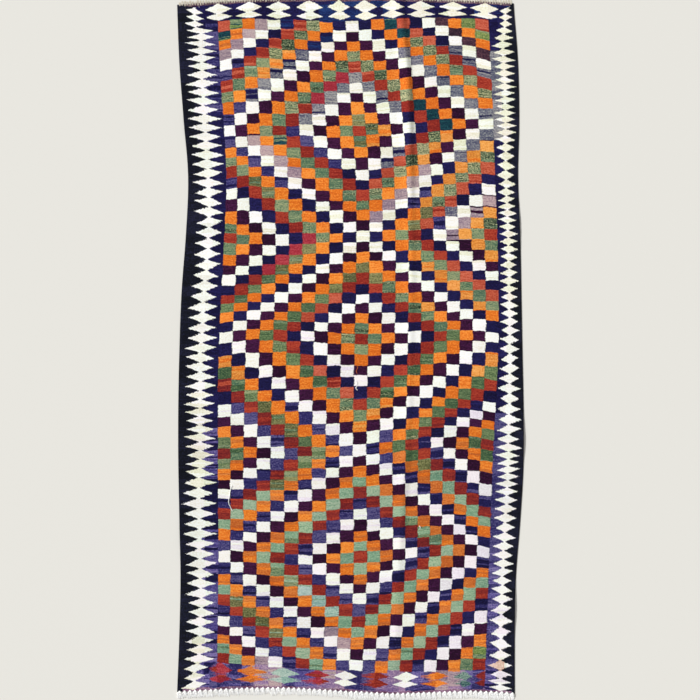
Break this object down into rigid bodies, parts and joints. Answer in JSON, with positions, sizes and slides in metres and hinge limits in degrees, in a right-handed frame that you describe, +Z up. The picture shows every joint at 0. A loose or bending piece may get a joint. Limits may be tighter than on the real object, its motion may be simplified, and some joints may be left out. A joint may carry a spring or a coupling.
{
  "type": "flat-woven kilim rug",
  "caption": "Long flat-woven wool rug with stepped diamond medallions, serrated side borders and knotted cotton warp ends.",
  "frame": {"origin": "on the floor under the middle of the rug", "axes": "+X across the rug, +Y along it towards its upper end, +Z up from the floor"},
  "size_m": [1.5813, 3.2311, 0.0122],
  "materials": {
    "wool": "matt dyed wool, weft-faced slit tapestry",
    "cotton": "matt undyed cotton yarn"
  },
  "bodies": {
    "root": {"woven_cloth": "wool", "warp_finish_lower": "cotton", "warp_finish_upper": "cotton"}
  },
  "joints": []
}
